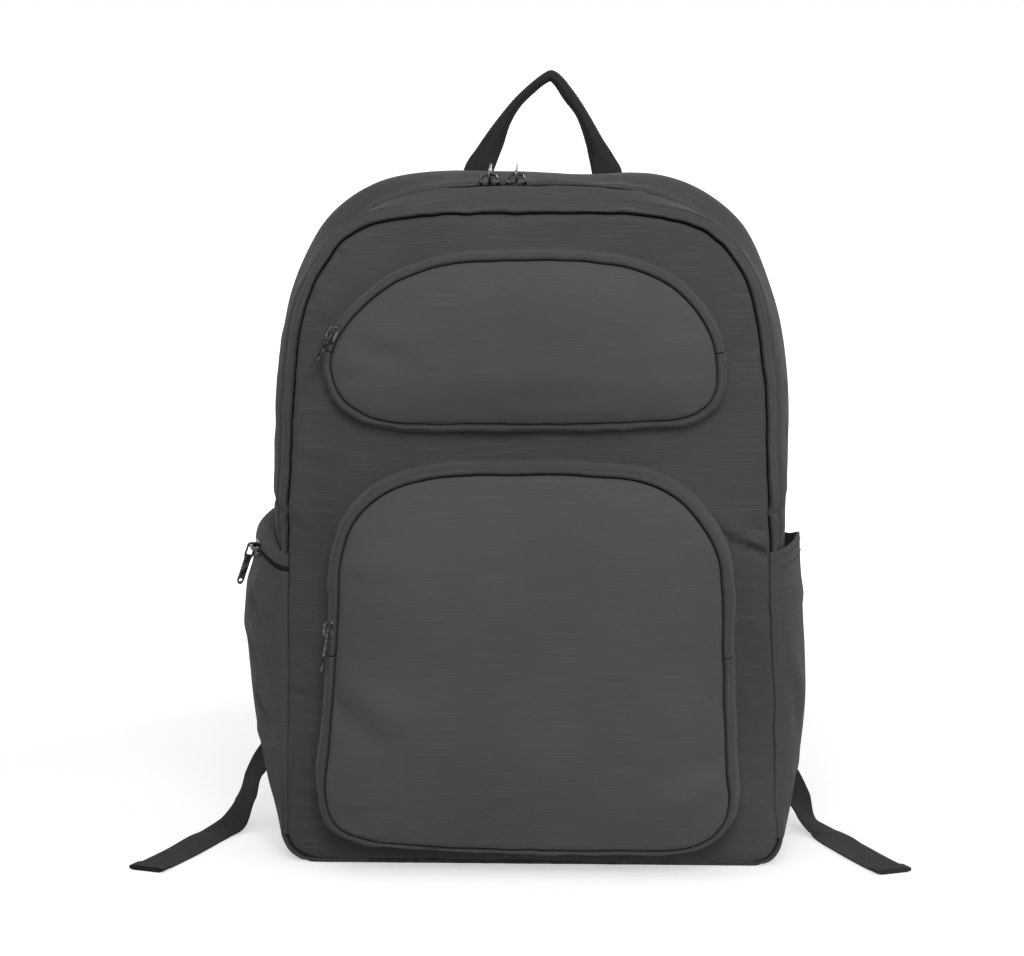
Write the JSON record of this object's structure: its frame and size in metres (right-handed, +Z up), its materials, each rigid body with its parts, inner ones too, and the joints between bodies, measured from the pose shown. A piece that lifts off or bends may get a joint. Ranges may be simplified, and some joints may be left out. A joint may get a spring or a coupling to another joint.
{
  "type": "laptop backpack",
  "caption": "Soft upright laptop backpack with a domed main body, zipped front pockets, side pockets, a webbing carry handle and padded shoulder straps.",
  "frame": {"origin": "on the floor under the middle of the body, where the flat of its base rests", "axes": "+X to the viewer's right as the front is faced, -Y out of the front, +Z up"},
  "size_m": [0.4958, 0.2016, 0.5027],
  "materials": {
    "shell_cloth": "plain-weave charcoal polyester with fine cross threads",
    "pocket_cloth": "the same charcoal polyester, pulled smoother and a little lighter",
    "padded_cloth": "foam-padded polyester, matt",
    "webbing": "ribbed woven webbing",
    "zip_tape": "black coil zip on woven tape",
    "slider_metal": "dark plated die-cast metal",
    "buckle_plastic": "moulded black acetal"
  },
  "bodies": {
    "bag": {"front_panel": "shell_cloth", "gusset_front_band": "shell_cloth", "main_zip": "zip_tape", "gusset_back_band": "shell_cloth", "base_gusset": "shell_cloth", "back_panel": "padded_cloth", "lower_pocket_face": "pocket_cloth", "lower_pocket_zip": "zip_tape", "lower_pocket_arch_gusset": "shell_cloth", "lower_pocket_foot_gusset": "shell_cloth", "upper_pocket_face": "pocket_cloth", "upper_pocket_zip": "zip_tape", "upper_pocket_arch_gusset": "shell_cloth", "upper_pocket_foot_gusset": "shell_cloth", "left_side_pocket": "shell_cloth", "left_pocket_zip": "zip_tape", "left_pocket_flap": "shell_cloth", "right_side_pocket": "shell_cloth", "carry_handle": "webbing", "left_shoulder_strap": "padded_cloth", "right_shoulder_strap": "padded_cloth", "left_strap_webbing": "webbing", "right_strap_webbing": "webbing", "left_buckle": "buckle_plastic", "right_buckle": "buckle_plastic", "main_left_slider": "slider_metal", "main_right_slider": "slider_metal", "upper_pocket_slider": "slider_metal", "lower_pocket_slider": "slider_metal", "side_pocket_slider": "slider_metal"},
    "main_left_puller": {"main_left_puller": "slider_metal"},
    "main_right_puller": {"main_right_puller": "slider_metal"},
    "upper_pocket_puller": {"upper_pocket_puller": "slider_metal"},
    "lower_pocket_puller": {"lower_pocket_puller": "slider_metal"},
    "side_pocket_puller": {"side_pocket_puller": "slider_metal"}
  },
  "joints": [
    {"name": "main_left_puller_swing", "type": "hinge", "parent": "bag", "child": "main_left_puller", "pos_m": [-0.02618, -0.01436, 0.43807], "axis": [1, 0.0001, 0.0054], "range_deg": [0, 75]},
    {"name": "main_right_puller_swing", "type": "hinge", "parent": "bag", "child": "main_right_puller", "pos_m": [-0.00908, -0.01436, 0.43816], "axis": [1, 0.0001, 0.0054], "range_deg": [0, 75]},
    {"name": "upper_pocket_puller_swing", "type": "hinge", "parent": "bag", "child": "upper_pocket_puller", "pos_m": [-0.12333, -0.06071, 0.3415], "axis": [-0.2489, 0.9649, 0.0839], "range_deg": [0, 75]},
    {"name": "lower_pocket_puller_swing", "type": "hinge", "parent": "bag", "child": "lower_pocket_puller", "pos_m": [-0.12534, -0.07889, 0.15669], "axis": [-0.1944, 0.9803, -0.0344], "range_deg": [0, 75]},
    {"name": "side_pocket_puller_swing", "type": "hinge", "parent": "bag", "child": "side_pocket_puller", "pos_m": [-0.17917, -0.02119, 0.19981], "axis": [-0.337, 0.9017, 0.2709], "range_deg": [0, 60]}
  ]
}
